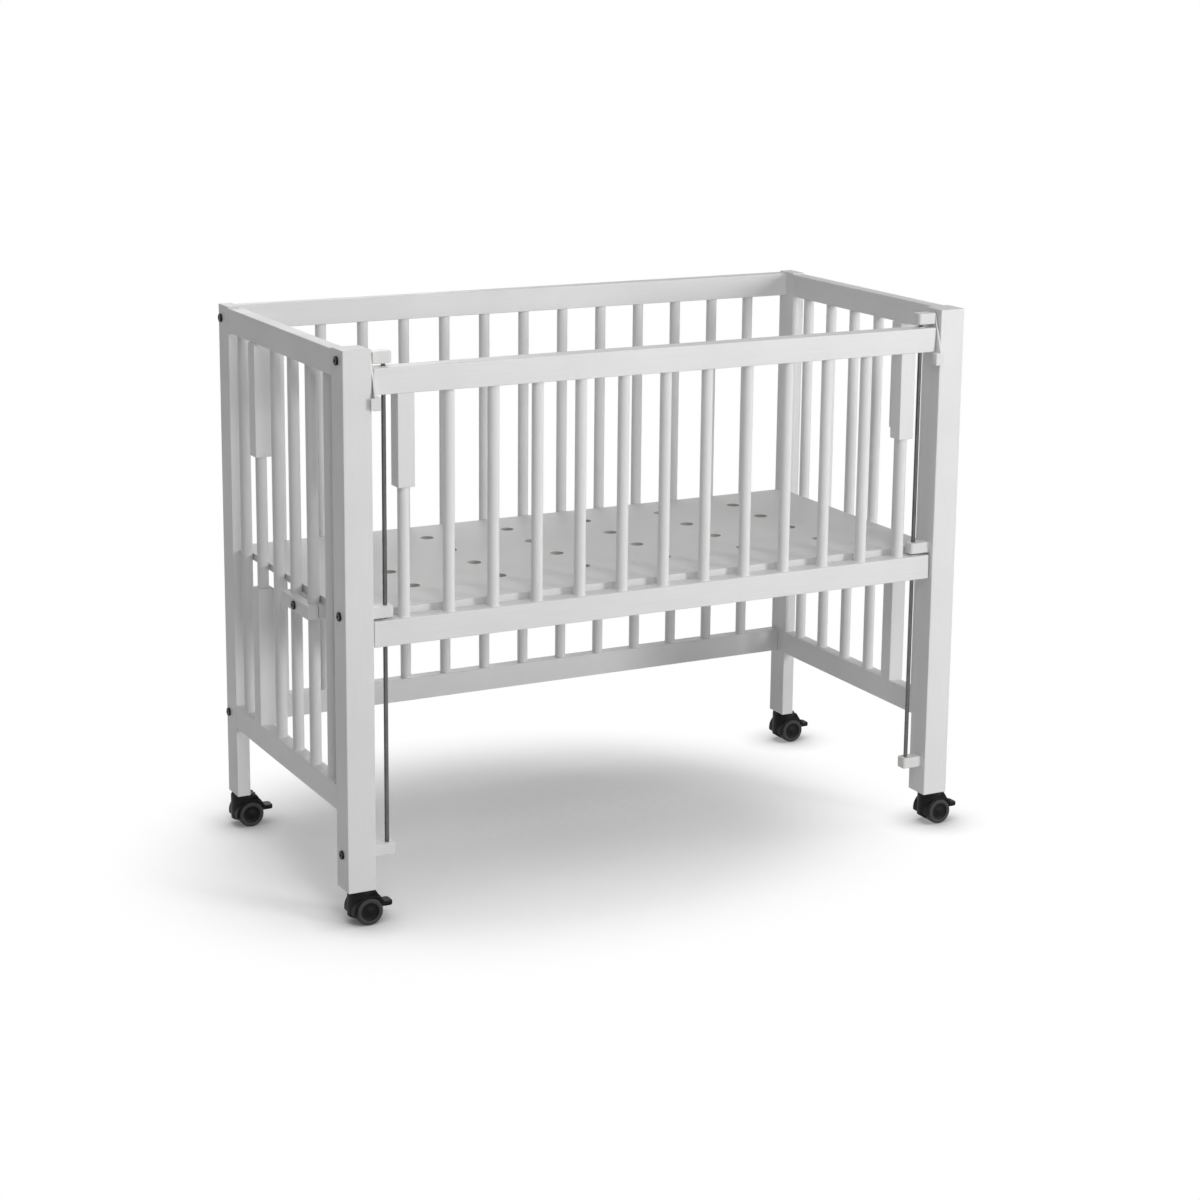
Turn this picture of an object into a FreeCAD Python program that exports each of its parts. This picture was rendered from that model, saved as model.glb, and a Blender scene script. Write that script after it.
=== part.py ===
import FreeCAD, Part
import math
import os

# Bedside sleeper crib, in millimetres. X runs along the crib, Y from the open drop side at the
# front (-Y) to the fixed back (+Y), Z is up. The pieces are drawn about the middle of the timber
# frame. They are saved with the origin on the floor under the middle of the whole crib, which lies
# a little to the right because the brake pedals reach out at that end.

V = FreeCAD.Vector
os.makedirs("parts", exist_ok=True)
X_AXIS, Y_AXIS, Z_AXIS = V(1, 0, 0), V(0, 1, 0), V(0, 0, 1)

# ---- the timber frame ----
frame_length = 960.0          # outside the two end frames
frame_depth = 476.0           # front of the front posts to the back of the back posts
front_post_size = 40.0        # square section
back_post_depth = 40.0        # section of a back post along Y
board_thickness = 20.0        # the planed boards that posts at the back and fixed rails are cut from
post_length = 730.0
post_top_rise = 2.0           # how far a post stands above the rails
post_edge_radius = 1.2
rail_height = 35.0
rail_edge_radius = 1.2
low_rail_level = 156.0        # underside of the lowest fixed rails above the floor

# ---- the round bars ----
bar_diameter = 16.0
bar_socket_depth = 12.0
wood_fit = 0.1                # gap round a peg or a bolt in its hole
thickest_round = 0.4          # of a block's least side, the most an eased edge may take
end_bar_count = 6
back_bar_count = 13
drop_bar_count = 13

# ---- square sleeves on some bars ----
sleeve_size = 24.0
sleeve_edge_radius = 1.0
stop_bar_from_corner = 1      # counted from the back post at the left, from the front post at the right
upper_stop_length = 161.0
lower_stop_length = 201.0
drop_sleeve_length = 125.0

# ---- the drop side ----
drop_setback = 5.0            # behind the front faces of the front posts
drop_rail_thickness = 25.0
drop_end_gap = 5.0            # between the top rail's end and the post, room for the latch
drop_low_end_gap = 3.0        # between the bottom rail's end and the post
drop_rail_top = 754.0
drop_side_height = 371.0
drop_bar_margin = 45.0        # rail end to the axis of the first bar

# ---- guide rods and their fittings on the front posts ----
rod_diameter = 6.0
rod_from_post = 23.0
rod_clearance = 0.6           # in the sliding rails
rod_fit = 0.05                # in the fixed fittings
rod_seat_depth = 12.0
fitting_width = 18.0
fitting_height = 16.0
fitting_past_rod = 9.0
fitting_corner = 4.0
fitting_edge_radius = 1.2
boss_length = 5.0             # between the post and the top fitting, inside the latch's eye
boss_diameter = 12.0
boss_root = 1.0               # how far the boss runs into the tab
top_fitting_gap = 5.0         # above the raised top rail
middle_fitting_gap = 3.0      # above the raised bottom rail
bottom_fitting_level = 93.0

# ---- the latches ----
latch_thickness = 2.4
latch_eye_radius = 11.0
latch_bore_fit = 0.1
latch_from_post = 1.3
catch_height = 18.0
catch_gap = 0.4               # from the level of the raised top rail's underside
catch_reach = 5.5             # past the rail's end
catch_front = 6.4             # in front of the post's front face
catch_rail_gap = 0.5          # in front of the drop side, when swung out
catch_round = 1.5
lip_reach = 3.5               # thumb lip over the post's front face
lip_thickness = 1.5
latch_arm_depth = 9.0

# ---- bolts ----
bolt_diameter = 6.0
bolt_head_diameter = 12.0
bolt_head_height = 3.0
bolt_head_round = 1.0
hex_key = 4.0
hex_depth = 2.0
bolt_below_fitting_centre = 2.0
bolt_tip_gap = 3.0            # between a fitting's bolt and the rod
barrel_nut_diameter = 10.0
barrel_nut_length = 14.0
barrel_nut_from_end = 30.0
bolt_past_nut = 2.0
clamp_bolt_tip_gap = 1.0      # short of the inner jaw's back

# ---- the base board and its clamps ----
base_top = 426.5
base_thickness = 10.0
base_side_gap = 1.0           # to the posts and the round bars
base_front_gap = 4.0
base_corner_radius = 3.0
vent_diameter = 20.0
vent_columns = 6
vent_rows = 4
vent_column_pitch = 131.0
vent_row_pitch = 84.0
vent_row_back_margin = 72.0
jaw_thickness = 15.5
jaw_height = 18.5
jaw_split = 1.0
jaw_overhang = 18.0           # past the axes of the two bars it grips
jaw_bore_gap = 0.3
jaw_edge_radius = 1.0
first_gripped_bar = 1         # counted from the front post at the left, from the back post at the right
clamp_nut_diameter = 9.0
clamp_nut_length = 8.0
screw_diameter = 4.0
screw_head_diameter = 7.5
screw_head_height = 2.5
screw_grip = 6.0              # how far a screw reaches into the base board
screw_from_jaw_end = 12.0
screw_from_jaw_back = 4.8

# ---- the casters ----
caster_height = 50.0
caster_post_gap = 0.3
caster_trail = 12.0           # from the swivel axis to the wheel axle
stem_diameter = 8.0
stem_length = 30.0
stem_tip_gap = 1.0
stem_seat_depth = 8.0         # of the stem in the hood
swivel_fit = 0.08
wheel_diameter = 38.0
wheel_width = 14.5
wheel_web_gap = 0.5
tyre_shoulder = 2.5
tyre_inner_edge = 1.5
hub_diameter = 25.0
hub_groove = 0.8
hub_dish = 0.8
axle_diameter = 6.0
axle_cap = 3.0                # closed wall over each end of the axle
web_thickness = 6.0
hood_radius = 18.0
hood_offset = 5.0             # of the hood's middle from the swivel axis, towards the axle
shoulder_half_width = 13.0    # of the hood's sloping back
shoulder_angle = 36.0         # degrees above level where that back meets the roof
hood_skirt_level = 12.0       # above the floor
hood_top_round = 3.0
hood_back_inset = 1.0         # of the sloping back's upper edge from the hood's rear
roof_gap = 1.2                # between the wheels and the roof over them
roof_thickness = 3.3
roof_start = 22.0             # degrees above level, behind the wheel
roof_end = 190.0
slot_start = 0.0              # of the slot for the brake lever's arm
slot_end_gap = 3.0            # degrees past the arm's upper end
slot_floor_radius = 14.0
lever_width = 8.4
lever_slot_gap = 0.4
lever_web_gap = 0.4
lever_arm_thickness = 4.6
lever_low_angle = 17.0        # degrees above level where arm and pedal join
lever_high_angle = 74.0
lever_pin_angle = 68.0
lever_pin_diameter = 2.0
lever_pin_length = 13.0
lever_pin_fit = 0.08
lever_pin_from_web = 2.0      # between the arm's underside and the pin's axis
pedal_length = 17.0
pedal_width = 20.0
pedal_thickness = 6.5
pedal_rise = 2.0              # of its top above the end of the arm
pedal_corner = 5.0
pedal_round = 1.6
wedge_steps = 4               # straight sides of the wedge that cuts a ring to its angles

# ---- how near an edge's middle must be to a place to count as being there ----
touch = 0.01

# ---- places worked out from the sizes ----
left, right = -frame_length / 2, frame_length / 2
front, back = -frame_depth / 2, frame_depth / 2
post_bottom = caster_height
post_top = post_bottom + post_length
rail_top = post_top - post_top_rise
rail_bottom = rail_top - rail_height
low_rail_top = low_rail_level + rail_height
bar_radius = bar_diameter / 2
end_bar_inset = board_thickness / 2
front_post_back = front + front_post_size
back_post_front = back - back_post_depth
end_bar_pitch = (back_post_front - front_post_back) / end_bar_count
back_bar_pitch = (frame_length - 2 * board_thickness) / (back_bar_count + 1)
back_line = back - board_thickness / 2

drop_front = front + drop_setback
drop_back = drop_front + drop_rail_thickness
drop_line = (drop_front + drop_back) / 2
drop_left = left + front_post_size + drop_end_gap
drop_right = -drop_left
drop_low_left = left + front_post_size + drop_low_end_gap
drop_bottom = drop_rail_top - drop_side_height
drop_low_rail_top = drop_bottom + rail_height
drop_top_rail_bottom = drop_rail_top - rail_height
drop_bar_pitch = (drop_right - drop_left - 2 * drop_bar_margin) / (drop_bar_count - 1)

rod_radius = rod_diameter / 2
bolt_line = front + front_post_size / 2
top_fitting_level = drop_rail_top + top_fitting_gap
middle_fitting_level = drop_low_rail_top + middle_fitting_gap
fitting_bolt_rise = fitting_height / 2 - bolt_below_fitting_centre

base_bottom = base_top - base_thickness
base_left = left + end_bar_inset + bar_radius + base_side_gap
base_front = drop_back + base_front_gap
base_back = back_line - bar_radius - base_side_gap
jaw_top = base_bottom

wheel_radius = wheel_diameter / 2
axle_level = wheel_radius
caster_top = caster_height - caster_post_gap
wheel_inner_face = web_thickness / 2 + wheel_web_gap
wheel_outer_face = wheel_inner_face + wheel_width
roof_inner = wheel_radius + roof_gap
roof_outer = roof_inner + roof_thickness
arm_inner = roof_inner + lever_web_gap

jaw_middle_x = left + end_bar_inset
outer_jaw_face = jaw_middle_x - jaw_split / 2 - jaw_thickness
inner_jaw_back = jaw_middle_x + jaw_split / 2 + jaw_thickness

pedal_root = caster_trail + arm_inner * math.cos(math.radians(lever_low_angle))
right_end = right - board_thickness / 2 + pedal_root + pedal_length
left_end = outer_jaw_face - bolt_head_height
middle_x = (left_end + right_end) / 2


def end_bar_line(index):
    """Y of an end frame's bar, counted from the front post."""
    return front_post_back + (index + 0.5) * end_bar_pitch


def block(x0, x1, y0, y1, z0, z1):
    return Part.makeBox(x1 - x0, y1 - y0, z1 - z0, V(x0, y0, z0))


def rounded_block(x0, x1, y0, y1, z0, z1, radius):
    """A planed piece of timber or a moulding, with all its edges eased."""
    shape = block(x0, x1, y0, y1, z0, z1)
    least = min(x1 - x0, y1 - y0, z1 - z0)
    return shape.makeFillet(min(radius, thickest_round * least), shape.Edges)


def rod(radius, length, start, direction):
    return Part.makeCylinder(radius, length, start, direction)


def save(name, *solids):
    shape = solids[0].copy() if len(solids) == 1 else Part.makeCompound(list(solids))
    shape.translate(V(-middle_x, 0, 0))
    shape.exportStep(f"parts/{name}.step")


def mirrored(shape, flip):
    """The same piece for the other end: turned half a turn or mirrored about the middle plane."""
    return shape.mirror(V(0, 0, 0), X_AXIS) if flip else shape


def half_turn(shape):
    turned = shape.copy()
    turned.rotate(V(0, 0, 0), Z_AXIS, 180)
    return turned


def socket_bolt(head_face, direction, shank_length):
    """A round-headed connector bolt with a hexagon socket. head_face is under its head."""
    radius = bolt_head_diameter / 2
    head = rod(radius, bolt_head_height, head_face, direction.negative())
    outer = head_face - direction * bolt_head_height
    rim = [e for e in head.Edges if e.CenterOfMass.sub(outer).Length < bolt_head_round / 2]
    head = head.makeFillet(bolt_head_round, rim)
    across = hex_key / math.sqrt(3)
    side = Z_AXIS.cross(direction)
    corners = [outer + (side * math.cos(k * math.pi / 3) + Z_AXIS * math.sin(k * math.pi / 3)) * across
               for k in range(7)]
    socket = Part.Face(Part.makePolygon(corners)).extrude(direction * hex_depth)
    shank = rod(bolt_diameter / 2, shank_length, head_face, direction)
    return head.fuse(shank).cut(socket).removeSplitter()


# ---- posts ----
def front_post():
    """The left one: fittings' bolts pass through it along X and a caster's stem stands in its foot."""
    x0, x1 = left, left + front_post_size
    shape = rounded_block(x0, x1, front, front_post_back, post_bottom, post_top, post_edge_radius)
    for level in (bottom_fitting_level, middle_fitting_level, top_fitting_level):
        start = V(x0, bolt_line, level + fitting_bolt_rise)
        shape = shape.cut(rod(bolt_diameter / 2 + wood_fit, front_post_size, start, X_AXIS))
    return shape.cut(stem_bore((x0 + x1) / 2, (front + front_post_back) / 2))


def back_post():
    x0, x1 = left, left + board_thickness
    shape = rounded_block(x0, x1, back_post_front, back, post_bottom, post_top, post_edge_radius)
    for level in (low_rail_level, rail_bottom):
        start = V(x0, back_line, level + rail_height / 2)
        shape = shape.cut(rod(bolt_diameter / 2 + wood_fit, board_thickness, start, X_AXIS))
    return shape.cut(stem_bore((x0 + x1) / 2, (back_post_front + back) / 2))


def stem_bore(x, y):
    return rod(stem_diameter / 2 + swivel_fit, stem_length + stem_tip_gap, V(x, y, post_bottom), Z_AXIS)


for side, flip in (("left", False), ("right", True)):
    save(f"post_front_{side}", mirrored(front_post(), flip))
    save(f"post_back_{side}", mirrored(back_post(), flip))


# ---- fixed rails, bored for the round bars ----
def sockets(points, level, direction):
    return [rod(bar_radius + wood_fit, bar_socket_depth, V(x, y, level), direction) for x, y in points]


end_bars = [(left + end_bar_inset, end_bar_line(k)) for k in range(end_bar_count)]
back_bars = [(left + board_thickness + (k + 1) * back_bar_pitch, back_line) for k in range(back_bar_count)]
drop_bars = [(drop_left + drop_bar_margin + k * drop_bar_pitch, drop_line) for k in range(drop_bar_count)]


def end_rail(level, socket_level, direction):
    shape = rounded_block(left, left + board_thickness, front_post_back, back_post_front,
                          level, level + rail_height, rail_edge_radius)
    return shape.cut(sockets(end_bars, socket_level, direction))


def back_rail(level, socket_level, direction):
    x0, x1 = left + board_thickness, right - board_thickness
    shape = rounded_block(x0, x1, back - board_thickness, back, level, level + rail_height, rail_edge_radius)
    shape = shape.cut(sockets(back_bars, socket_level, direction))
    reach = barrel_nut_from_end + barrel_nut_diameter / 2 + bolt_past_nut
    for end, inward in ((x0, X_AXIS), (x1, X_AXIS.negative())):
        middle = level + rail_height / 2
        shape = shape.cut(rod(bolt_diameter / 2 + wood_fit, reach, V(end, back_line, middle), inward))
        nut_x = end + inward.x * barrel_nut_from_end
        pocket = rail_height / 2 + barrel_nut_length / 2
        shape = shape.cut(rod(barrel_nut_diameter / 2 + wood_fit, pocket, V(nut_x, back_line, level), Z_AXIS))
    return shape


for side, flip in (("left", False), ("right", True)):
    save(f"end_top_rail_{side}", mirrored(end_rail(rail_bottom, rail_bottom, Z_AXIS), flip))
    save(f"end_low_rail_{side}", mirrored(end_rail(low_rail_level, low_rail_top, Z_AXIS.negative()), flip))
save("back_top_rail", back_rail(rail_bottom, rail_bottom, Z_AXIS))
save("back_low_rail", back_rail(low_rail_level, low_rail_top, Z_AXIS.negative()))


# ---- round bars between the rails ----
def bars(points, low, high):
    return [rod(bar_radius, high - low + 2 * bar_socket_depth, V(x, y, low - bar_socket_depth), Z_AXIS)
            for x, y in points]


end_bar_set = bars(end_bars, low_rail_top, rail_bottom)
save("end_bars_left", *end_bar_set)
save("end_bars_right", *[half_turn(b) for b in end_bar_set])
save("back_bars", *bars(back_bars, low_rail_top, rail_bottom))
save("drop_bars", *bars(drop_bars, drop_low_rail_top, drop_top_rail_bottom))


# ---- square sleeves: stops above and below the base, and one at each end of the drop side ----
def sleeve(x, y, z0, z1):
    half = sleeve_size / 2
    shape = block(x - half, x + half, y - half, y + half, z0, z1)
    shape = shape.makeFillet(sleeve_edge_radius, shape.Edges)
    return shape.cut(rod(bar_radius + wood_fit, z1 - z0, V(x, y, z0), Z_AXIS))


stop_x, stop_y = end_bars[end_bar_count - 1 - stop_bar_from_corner]
stops = [sleeve(stop_x, stop_y, low_rail_top, low_rail_top + lower_stop_length),
         sleeve(stop_x, stop_y, rail_bottom - upper_stop_length, rail_bottom)]
save("stop_sleeves_left", *stops)
save("stop_sleeves_right", *[half_turn(s) for s in stops])
save("drop_sleeves", *[sleeve(x, y, drop_top_rail_bottom - drop_sleeve_length, drop_top_rail_bottom)
                       for x, y in (drop_bars[0], drop_bars[-1])])


# ---- drop side rails, which slide on the two rods ----
rod_left_x = left + front_post_size + rod_from_post


def drop_rail(end, level, socket_level, direction):
    shape = rounded_block(end, -end, drop_front, drop_back, level, level + rail_height, rail_edge_radius)
    for x in (rod_left_x, -rod_left_x):
        shape = shape.cut(rod(rod_radius + rod_clearance, rail_height, V(x, drop_line, level), Z_AXIS))
    return shape.cut(sockets(drop_bars, socket_level, direction))


save("drop_top_rail", drop_rail(drop_left, drop_top_rail_bottom, drop_top_rail_bottom, Z_AXIS))
save("drop_low_rail", drop_rail(drop_low_left, drop_bottom, drop_low_rail_top, Z_AXIS.negative()))


# ---- rods and the moulded fittings that hold them to the front posts ----
rod_low = bottom_fitting_level + fitting_height - rod_seat_depth
rod_high = top_fitting_level + rod_seat_depth


def guide_rod():
    return rod(rod_radius, rod_high - rod_low, V(rod_left_x, drop_line, rod_low), Z_AXIS)


def fitting(level, boss):
    """A tab about the rod. Its bolt draws it against the post, or against its boss at the top."""
    post_face = left + front_post_size
    half = fitting_width / 2
    outer = rod_left_x + fitting_past_rod
    tab = block(post_face + boss, outer, drop_line - half, drop_line + half, level, level + fitting_height)
    middle = level + fitting_height / 2
    corners = [e for e in tab.Edges if abs(e.CenterOfMass.x - outer) < touch
               and abs(e.CenterOfMass.z - middle) < touch]
    tab = tab.makeFillet(fitting_corner, corners)
    rims = [e for e in tab.Edges if abs(e.CenterOfMass.z - middle) > fitting_height / 2 - touch]
    tab = tab.makeFillet(fitting_edge_radius, rims)
    bolt_z = level + fitting_bolt_rise
    if boss:
        tab = tab.fuse(rod(boss_diameter / 2, boss + boss_root, V(post_face, bolt_line, bolt_z), X_AXIS))
    hole = rod(bolt_diameter / 2 + rod_fit, bolt_reach(), V(post_face, bolt_line, bolt_z), X_AXIS)
    low, high = max(level, rod_low), min(level + fitting_height, rod_high)
    seat = rod(rod_radius + rod_fit, high - low, V(rod_left_x, drop_line, low), Z_AXIS)
    return tab.cut(hole).cut(seat).removeSplitter()


def bolt_reach():
    """How far a fitting's bolt goes past the post."""
    return rod_from_post - rod_radius - bolt_tip_gap


def fitting_bolts():
    length = front_post_size + bolt_reach()
    return [socket_bolt(V(left, bolt_line, level + fitting_bolt_rise), X_AXIS, length)
            for level in (bottom_fitting_level, middle_fitting_level, top_fitting_level)]


fittings = {"top": (top_fitting_level, boss_length), "middle": (middle_fitting_level, 0),
            "bottom": (bottom_fitting_level, 0)}
for side, flip in (("left", False), ("right", True)):
    save(f"guide_rod_{side}", mirrored(guide_rod(), flip))
    for place, (level, boss) in fittings.items():
        save(f"{place}_fitting_{side}", mirrored(fitting(level, boss), flip))
save("fitting_bolts", *[mirrored(b, flip) for flip in (False, True) for b in fitting_bolts()])


# ---- bolts and barrel nuts that pull the back rails to the back posts ----
def frame_bolt(level):
    length = board_thickness + barrel_nut_from_end + barrel_nut_diameter / 2 + bolt_past_nut
    return socket_bolt(V(left, back_line, level + rail_height / 2), X_AXIS, length)


def barrel_nut(level):
    x = left + board_thickness + barrel_nut_from_end
    middle = level + rail_height / 2
    radius = barrel_nut_diameter / 2
    body = rod(radius, barrel_nut_length, V(x, back_line, middle - barrel_nut_length / 2), Z_AXIS)
    side = V(x - radius, back_line, middle)
    return body.cut(rod(bolt_diameter / 2 + rod_fit, barrel_nut_diameter, side, X_AXIS))


back_rail_levels = (low_rail_level, rail_bottom)
save("frame_bolts", *[mirrored(frame_bolt(z), flip) for flip in (False, True) for z in back_rail_levels])
save("barrel_nuts", *[mirrored(barrel_nut(z), flip) for flip in (False, True) for z in back_rail_levels])


# ---- latches: a flat arm hangs from the top fitting's boss, with a catch in front of the rail ----
def latch():
    """Swung out. Swung back, the catch's rear edge stands under the end of the raised top rail."""
    x0 = left + front_post_size + latch_from_post
    pivot_z = top_fitting_level + fitting_bolt_rise
    catch_top = drop_top_rail_bottom - catch_gap
    catch_bottom = catch_top - catch_height
    y_front = front - catch_front
    y_rear = drop_front - catch_rail_gap
    arm_points = [V(x0, bolt_line + latch_eye_radius, pivot_z), V(x0, bolt_line - latch_eye_radius, pivot_z),
                  V(x0, y_front, catch_top), V(x0, y_front, catch_bottom),
                  V(x0, y_front + latch_arm_depth, catch_bottom)]
    arm = Part.Face(Part.makePolygon(arm_points + arm_points[:1])).extrude(V(latch_thickness, 0, 0))
    eye = rod(latch_eye_radius, latch_thickness, V(x0, bolt_line, pivot_z), X_AXIS)
    catch = rounded_block(x0, drop_left + catch_reach, y_front, y_rear, catch_bottom, catch_top, catch_round)
    lip = block(left + front_post_size - lip_reach, x0 + latch_thickness, y_front, y_front + lip_thickness,
                catch_bottom + catch_round, catch_top - catch_round)
    boss = rod(boss_diameter / 2 + latch_bore_fit, latch_thickness, V(x0, bolt_line, pivot_z), X_AXIS)
    return arm.fuse([eye, catch, lip]).cut(boss).removeSplitter()


for side, flip in (("left", False), ("right", True)):
    save(f"latch_{side}", mirrored(latch(), flip))


# ---- the perforated base board ----
def base_board():
    shape = block(base_left, -base_left, base_front, base_back, base_bottom, base_top)
    for reach, y0, y1 in ((front_post_size, front, front_post_back),
                          (board_thickness, back_post_front, back)):
        post = block(left, left + reach + base_side_gap, y0 - base_side_gap, y1 + base_side_gap,
                     base_bottom, base_top)
        shape = shape.cut([post, mirrored(post, True)])
    corner_x = left + front_post_size + base_side_gap
    corners = [e for e in shape.Edges if abs(abs(e.CenterOfMass.x) - abs(corner_x)) < base_side_gap / 2
               and abs(e.CenterOfMass.y - base_front) < base_side_gap / 2]
    shape = shape.makeFillet(base_corner_radius, corners)
    first_x = -vent_column_pitch * (vent_columns - 1) / 2
    vents = []
    for column in range(vent_columns):
        for row in range(vent_rows):
            place = V(first_x + column * vent_column_pitch,
                      base_back - vent_row_back_margin - row * vent_row_pitch, base_bottom)
            vents.append(rod(vent_diameter / 2, base_thickness, place, Z_AXIS))
    return shape.cut(vents).cut(clamp_screw_set(screw_diameter / 2))


# ---- clamps: two grooved jaws that a bolt draws together round two bars of each end frame ----
grip_y = [end_bar_line(first_gripped_bar), end_bar_line(first_gripped_bar + 1)]
jaw_y0, jaw_y1 = grip_y[0] - jaw_overhang, grip_y[1] + jaw_overhang
clamp_bolt_y = sum(grip_y) / 2
clamp_bolt_z = jaw_top - jaw_height / 2


def jaw(x0, x1):
    shape = rounded_block(x0, x1, jaw_y0, jaw_y1, jaw_top - jaw_height, jaw_top, jaw_edge_radius)
    grooves = [rod(bar_radius + jaw_bore_gap, jaw_height, V(jaw_middle_x, y, jaw_top - jaw_height), Z_AXIS)
               for y in grip_y]
    bolt_hole = rod(bolt_diameter / 2 + wood_fit, x1 - x0, V(x0, clamp_bolt_y, clamp_bolt_z), X_AXIS)
    return shape.cut(grooves).cut(bolt_hole)


def inner_jaw():
    x0 = inner_jaw_back - jaw_thickness
    pocket = rod(clamp_nut_diameter / 2 + wood_fit, clamp_nut_length,
                 V(inner_jaw_back - clamp_nut_length, clamp_bolt_y, clamp_bolt_z), X_AXIS)
    return jaw(x0, inner_jaw_back).cut(pocket).cut(clamp_screws(screw_diameter / 2))


def clamp_bolt():
    length = inner_jaw_back - outer_jaw_face - clamp_bolt_tip_gap
    return socket_bolt(V(outer_jaw_face, clamp_bolt_y, clamp_bolt_z), X_AXIS, length)


def clamp_nut():
    start = V(inner_jaw_back - clamp_nut_length, clamp_bolt_y, clamp_bolt_z)
    body = rod(clamp_nut_diameter / 2, clamp_nut_length, start, X_AXIS)
    return body.cut(rod(bolt_diameter / 2 + rod_fit, clamp_nut_length, start, X_AXIS))


def clamp_screws(radius):
    """Screws from below through the inner jaw into the base board, heads under the jaw."""
    found = []
    low = jaw_top - jaw_height
    for y in (jaw_y0 + screw_from_jaw_end, jaw_y1 - screw_from_jaw_end):
        place = V(inner_jaw_back - screw_from_jaw_back, y, low)
        shank = rod(radius, jaw_height + screw_grip, place, Z_AXIS)
        head = Part.makeCone(screw_head_diameter / 2, radius, screw_head_height, place, Z_AXIS)
        found.append(shank.fuse(head).removeSplitter())
    return found


def clamp_screw_set(radius):
    return clamp_screws(radius) + [half_turn(s) for s in clamp_screws(radius)]


save("base_board", base_board())
save("clamp_outer_jaw_left", jaw(outer_jaw_face, outer_jaw_face + jaw_thickness))
save("clamp_inner_jaw_left", inner_jaw())
save("clamp_outer_jaw_right", half_turn(jaw(outer_jaw_face, outer_jaw_face + jaw_thickness)))
save("clamp_inner_jaw_right", half_turn(inner_jaw()))
save("clamp_bolts", clamp_bolt(), half_turn(clamp_bolt()))
save("clamp_nuts", clamp_nut(), half_turn(clamp_nut()))
save("clamp_screws", *clamp_screw_set(screw_diameter / 2))


# ---- casters, drawn with the swivel axis at the origin, trailing along +X ----
def around_axle(inner, outer, start_angle, end_angle, half_width):
    """Part of a ring about the wheel axle; angles are degrees above level, behind the wheel first."""
    middle = V(caster_trail, -half_width, axle_level)
    ring = rod(outer, 2 * half_width, middle, Y_AXIS).cut(rod(inner, 2 * half_width, middle, Y_AXIS))
    reach = 2 * outer
    step = math.radians(end_angle - start_angle) / wedge_steps
    turns = [math.radians(start_angle) + k * step for k in range(wedge_steps + 1)]
    spread = [middle] + [middle + V(math.cos(a), 0, math.sin(a)) * reach for a in turns]
    wedge = Part.Face(Part.makePolygon(spread + spread[:1])).extrude(V(0, 2 * half_width, 0))
    return ring.common(wedge)


def caster_housing():
    """A hood over two wheels, with a web between them that carries the axle."""
    top, half_width = caster_top, wheel_outer_face
    dome = rod(hood_radius, top - hood_skirt_level, V(hood_offset, 0, hood_skirt_level), Z_AXIS)
    rim = [e for e in dome.Edges if abs(e.CenterOfMass.z - top) < touch]
    dome = dome.makeFillet(hood_top_round, rim)
    roof = around_axle(roof_inner, roof_outer, roof_start, roof_end, half_width)
    slope = math.radians(shoulder_angle)
    outline = [V(hood_offset, -shoulder_half_width, top - hood_top_round),
               V(hood_offset + hood_radius - hood_back_inset, -shoulder_half_width, top - hood_top_round),
               V(caster_trail + roof_outer * math.cos(slope), -shoulder_half_width,
                 axle_level + roof_outer * math.sin(slope)),
               V(caster_trail, -shoulder_half_width, axle_level)]
    shoulder = Part.Face(Part.makePolygon(outline + outline[:1])).extrude(V(0, 2 * shoulder_half_width, 0))
    web = rod(roof_inner, web_thickness, V(caster_trail, -web_thickness / 2, axle_level), Y_AXIS)
    web = web.common(block(hood_offset - hood_radius, caster_trail + roof_outer, -half_width, half_width,
                           hood_skirt_level, top))
    cavity = [rod(roof_inner, half_width, V(caster_trail, y, axle_level), Y_AXIS)
              for y in (web_thickness / 2, -web_thickness / 2 - half_width)]
    slot = around_axle(slot_floor_radius, roof_outer + hood_radius, slot_start,
                       lever_high_angle + slot_end_gap, lever_width / 2 + lever_slot_gap)
    pin_hole = rod(lever_pin_diameter / 2 + rod_fit, lever_pin_length, lever_pin_end(), Y_AXIS)
    axle_end = V(caster_trail, -web_thickness / 2, axle_level)
    axle_hole = rod(axle_diameter / 2 + rod_fit, web_thickness, axle_end, Y_AXIS)
    stem_hole = rod(stem_diameter / 2 + rod_fit, stem_seat_depth, V(0, 0, top - stem_seat_depth), Z_AXIS)
    shape = dome.fuse([roof, shoulder]).cut(cavity).fuse(web)
    return shape.cut([slot, pin_hole, axle_hole, stem_hole]).removeSplitter()


def lever_pin_place():
    radius = roof_inner + lever_pin_from_web
    a = math.radians(lever_pin_angle)
    return caster_trail + radius * math.cos(a), axle_level + radius * math.sin(a)


def lever_pin_end():
    x, z = lever_pin_place()
    return V(x, -lever_pin_length / 2, z)


def caster_pins():
    """The stem, the axle and the pin of the brake lever."""
    stem_low = caster_top - stem_seat_depth
    stem = rod(stem_diameter / 2, post_bottom + stem_length - stem_low, V(0, 0, stem_low), Z_AXIS)
    half = wheel_outer_face - axle_cap
    axle = rod(axle_diameter / 2, 2 * half, V(caster_trail, -half, axle_level), Y_AXIS)
    return [stem, axle, rod(lever_pin_diameter / 2, lever_pin_length, lever_pin_end(), Y_AXIS)]


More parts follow.
